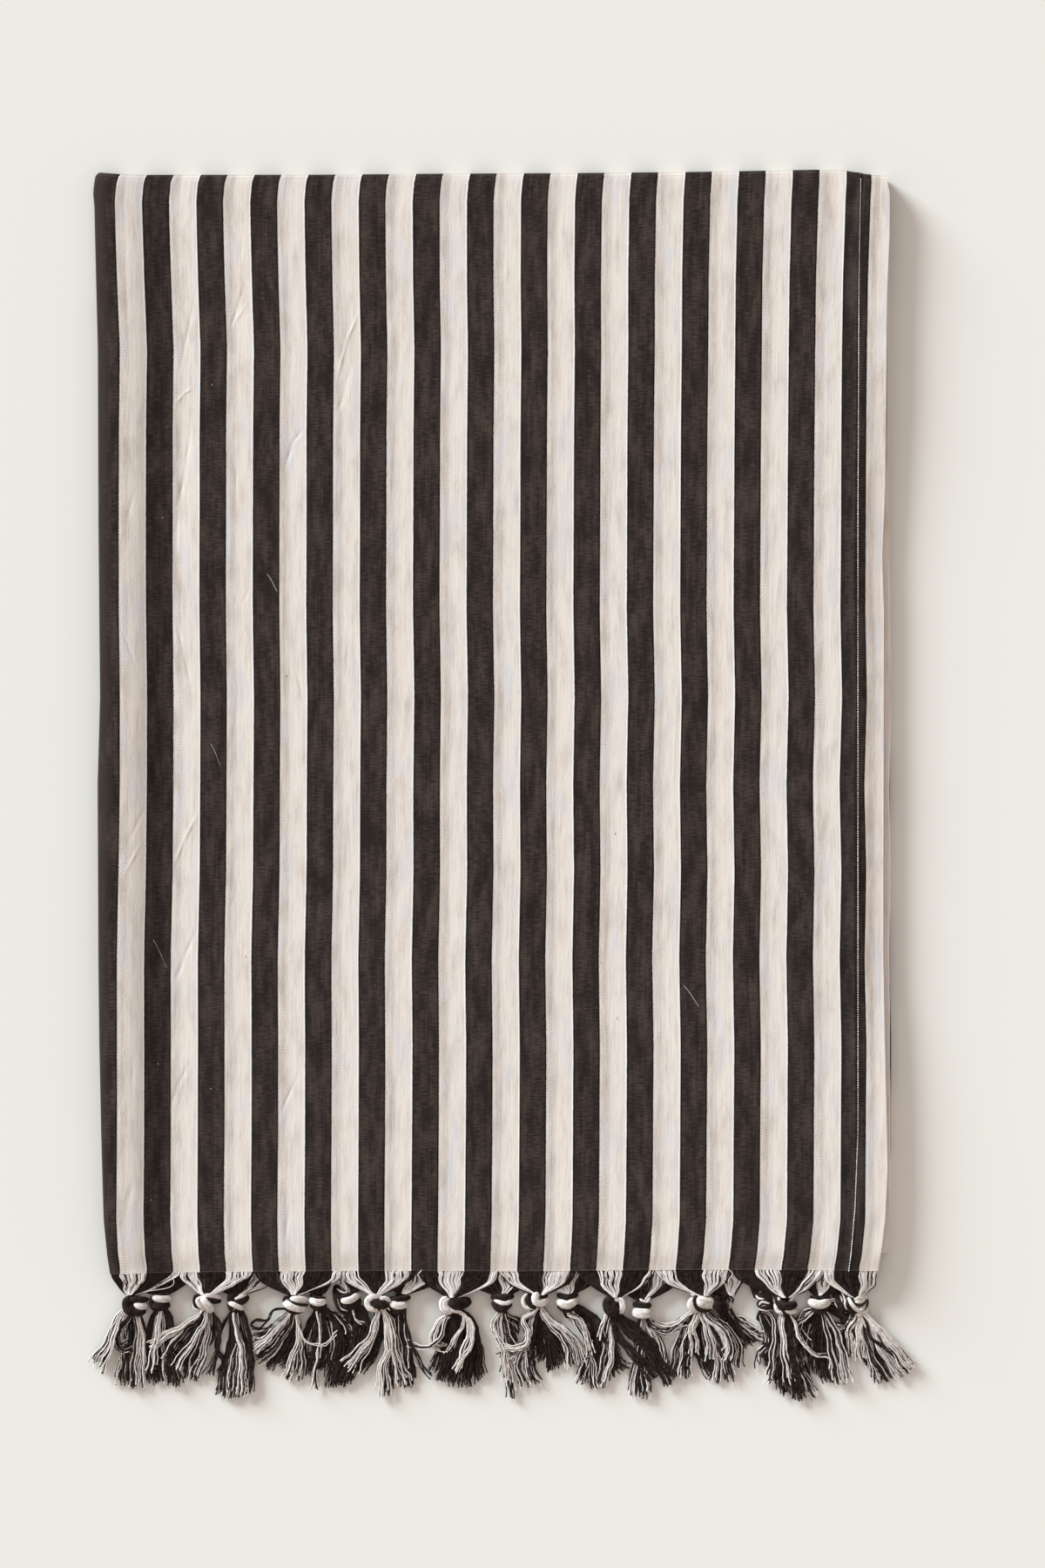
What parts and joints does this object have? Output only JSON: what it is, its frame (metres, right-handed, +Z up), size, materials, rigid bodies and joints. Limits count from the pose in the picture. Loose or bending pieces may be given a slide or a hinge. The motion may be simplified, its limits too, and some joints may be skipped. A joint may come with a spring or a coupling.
{
  "type": "folded hammam towel",
  "caption": "Striped cotton hammam towel, folded flat, with knotted warp tassels hanging from the lower edge.",
  "frame": {"origin": "under the middle of the folded towel, tassels included, on the surface that it lies on", "axes": "+Z up, away from the surface; +Y along the towel's length, from the tassels to the upper cross fold; +X from the doubling fold to the hemmed edge"},
  "size_m": [0.472, 0.7079, 0.0124],
  "materials": {
    "cloth": "matte",
    "fringe": "matte"
  },
  "bodies": {
    "root": {"cloth": "cloth", "tassel_front_01": "fringe", "tassel_front_02": "fringe", "tassel_front_03": "fringe", "tassel_front_04": "fringe", "tassel_front_05": "fringe", "tassel_front_06": "fringe", "tassel_front_07": "fringe", "tassel_front_08": "fringe", "tassel_front_09": "fringe", "tassel_front_10": "fringe", "tassel_back_01": "fringe", "tassel_back_02": "fringe", "tassel_back_03": "fringe", "tassel_back_04": "fringe", "tassel_back_05": "fringe", "tassel_back_06": "fringe", "tassel_back_07": "fringe", "tassel_back_08": "fringe", "tassel_back_09": "fringe", "tassel_back_10": "fringe", "tassel_back_11": "fringe"}
  },
  "joints": []
}
